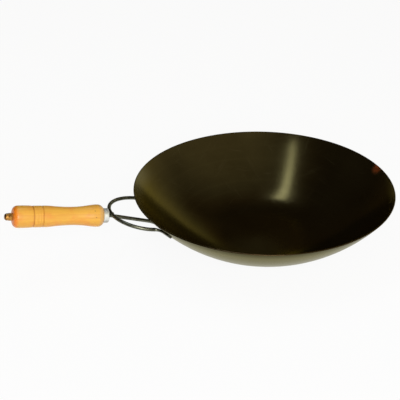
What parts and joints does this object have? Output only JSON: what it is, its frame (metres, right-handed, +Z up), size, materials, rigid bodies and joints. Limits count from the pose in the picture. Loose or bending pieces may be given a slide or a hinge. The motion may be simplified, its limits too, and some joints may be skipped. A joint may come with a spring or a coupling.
{
  "type": "carbon steel wok",
  "caption": "Spun carbon steel wok with a flat base and a turned wooden handle, held to a bent-wire bracket by a tie rod and a cap nut.",
  "frame": {"origin": "centre of the underside of the flat base", "axes": "+Z up through the bowl, -X towards the handle"},
  "size_m": [0.5305, 0.356, 0.1066],
  "materials": {
    "bowl_steel": "seasoned dark inside, bare satin outside",
    "wire_steel": "dark, bare",
    "bright_steel": "polished",
    "lacquered_wood": "clear gloss lacquer",
    "brass": "aged, smooth",
    "weld_metal": "dark, heat tinted"
  },
  "bodies": {
    "root": {"bowl": "bowl_steel", "bracket_loop": "wire_steel", "tie_rod": "wire_steel", "ferrule": "bright_steel", "handle_grip": "lacquered_wood", "cap_nut": "brass", "loop_foot_welds": "weld_metal", "rod_foot_welds": "weld_metal", "crossing_weld": "weld_metal"}
  },
  "joints": []
}
